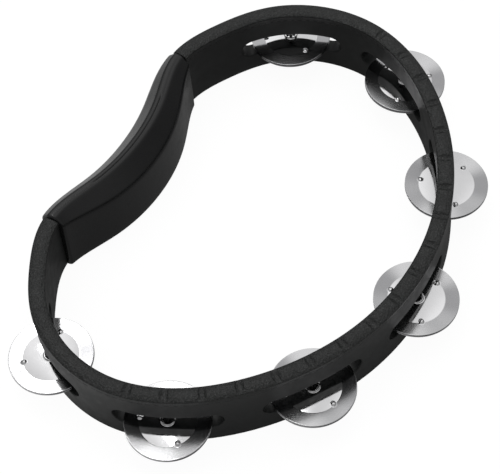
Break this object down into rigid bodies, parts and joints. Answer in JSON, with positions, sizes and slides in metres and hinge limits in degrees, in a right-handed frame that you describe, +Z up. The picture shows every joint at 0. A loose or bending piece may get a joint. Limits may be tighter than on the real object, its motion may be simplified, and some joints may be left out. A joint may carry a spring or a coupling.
{
  "type": "tambourine",
  "caption": "Headless hand-held tambourine: kidney-shaped hoop, rubber grip on its hollow side, and paired steel jingles loose on pins in slots.",
  "frame": {"origin": "under the middle of the bounding box, on the plane the tambourine rests on", "axes": "+Z up with the tambourine lying flat, +Y from the grip to the middle of the playing side, +X across"},
  "size_m": [0.288, 0.2098, 0.0416],
  "materials": {
    "hoop_plastic": "black moulded ABS: pebble grain on the rim, satin wall",
    "grip_rubber": "smooth satin black rubber",
    "pin_steel": "drawn steel wire",
    "jingle_steel": "polished stainless steel, spun rings on the outer band"
  },
  "bodies": {
    "hoop": {"hoop": "hoop_plastic", "grip": "grip_rubber"},
    "pin_1": {"pin_1": "pin_steel"},
    "jingle_lower_1": {"jingle_lower_1": "jingle_steel"},
    "jingle_upper_1": {"jingle_upper_1": "jingle_steel"},
    "pin_2": {"pin_2": "pin_steel"},
    "jingle_lower_2": {"jingle_lower_2": "jingle_steel"},
    "jingle_upper_2": {"jingle_upper_2": "jingle_steel"},
    "pin_3": {"pin_3": "pin_steel"},
    "jingle_lower_3": {"jingle_lower_3": "jingle_steel"},
    "jingle_upper_3": {"jingle_upper_3": "jingle_steel"},
    "pin_4": {"pin_4": "pin_steel"},
    "jingle_lower_4": {"jingle_lower_4": "jingle_steel"},
    "jingle_upper_4": {"jingle_upper_4": "jingle_steel"},
    "pin_5": {"pin_5": "pin_steel"},
    "jingle_lower_5": {"jingle_lower_5": "jingle_steel"},
    "jingle_upper_5": {"jingle_upper_5": "jingle_steel"},
    "pin_6": {"pin_6": "pin_steel"},
    "jingle_lower_6": {"jingle_lower_6": "jingle_steel"},
    "jingle_upper_6": {"jingle_upper_6": "jingle_steel"},
    "pin_7": {"pin_7": "pin_steel"},
    "jingle_lower_7": {"jingle_lower_7": "jingle_steel"},
    "jingle_upper_7": {"jingle_upper_7": "jingle_steel"}
  },
  "joints": [
    {"name": "pair_1_spin", "type": "hinge", "parent": "hoop", "child": "pin_1", "pos_m": [-0.1188, -0.061, 0.0179], "axis": [0, 0, 1], "continuous": true},
    {"name": "lower_1_slide", "type": "slide", "parent": "pin_1", "child": "jingle_lower_1", "axis": [0, 0, 1], "range_m": [-0.0003, 0.0022]},
    {"name": "upper_1_slide", "type": "slide", "parent": "jingle_lower_1", "child": "jingle_upper_1", "axis": [0, 0, 1], "range_m": [0, 0.0015]},
    {"name": "pair_2_spin", "type": "hinge", "parent": "hoop", "child": "pin_2", "pos_m": [-0.12083, 0.00947, 0.0179], "axis": [0, 0, 1], "continuous": true},
    {"name": "lower_2_slide", "type": "slide", "parent": "pin_2", "child": "jingle_lower_2", "axis": [0, 0, 1], "range_m": [-0.0003, 0.0022]},
    {"name": "upper_2_slide", "type": "slide", "parent": "jingle_lower_2", "child": "jingle_upper_2", "axis": [0, 0, 1], "range_m": [0, 0.0015]},
    {"name": "pair_3_spin", "type": "hinge", "parent": "hoop", "child": "pin_3", "pos_m": [-0.07009, 0.06177, 0.0179], "axis": [0, 0, 1], "continuous": true},
    {"name": "lower_3_slide", "type": "slide", "parent": "pin_3", "child": "jingle_lower_3", "axis": [0, 0, 1], "range_m": [-0.0003, 0.0022]},
    {"name": "upper_3_slide", "type": "slide", "parent": "jingle_lower_3", "child": "jingle_upper_3", "axis": [0, 0, 1], "range_m": [0, 0.0015]},
    {"name": "pair_4_spin", "type": "hinge", "parent": "hoop", "child": "pin_4", "pos_m": [0, 0.08163, 0.0179], "axis": [0, 0, 1], "continuous": true},
    {"name": "lower_4_slide", "type": "slide", "parent": "pin_4", "child": "jingle_lower_4", "axis": [0, 0, 1], "range_m": [-0.0003, 0.0022]},
    {"name": "upper_4_slide", "type": "slide", "parent": "jingle_lower_4", "child": "jingle_upper_4", "axis": [0, 0, 1], "range_m": [0, 0.0015]},
    {"name": "pair_5_spin", "type": "hinge", "parent": "hoop", "child": "pin_5", "pos_m": [0.0701, 0.06177, 0.0179], "axis": [0, 0, 1], "continuous": true},
    {"name": "lower_5_slide", "type": "slide", "parent": "pin_5", "child": "jingle_lower_5", "axis": [0, 0, 1], "range_m": [-0.0003, 0.0022]},
    {"name": "upper_5_slide", "type": "slide", "parent": "jingle_lower_5", "child": "jingle_upper_5", "axis": [0, 0, 1], "range_m": [0, 0.0015]},
    {"name": "pair_6_spin", "type": "hinge", "parent": "hoop", "child": "pin_6", "pos_m": [0.12084, 0.00947, 0.0179], "axis": [0, 0, 1], "continuous": true},
    {"name": "lower_6_slide", "type": "slide", "parent": "pin_6", "child": "jingle_lower_6", "axis": [0, 0, 1], "range_m": [-0.0003, 0.0022]},
    {"name": "upper_6_slide", "type": "slide", "parent": "jingle_lower_6", "child": "jingle_upper_6", "axis": [0, 0, 1], "range_m": [0, 0.0015]},
    {"name": "pair_7_spin", "type": "hinge", "parent": "hoop", "child": "pin_7", "pos_m": [0.1188, -0.061, 0.0179], "axis": [0, 0, 1], "continuous": true},
    {"name": "lower_7_slide", "type": "slide", "parent": "pin_7", "child": "jingle_lower_7", "axis": [0, 0, 1], "range_m": [-0.0003, 0.0022]},
    {"name": "upper_7_slide", "type": "slide", "parent": "jingle_lower_7", "child": "jingle_upper_7", "axis": [0, 0, 1], "range_m": [0, 0.0015]}
  ]
}
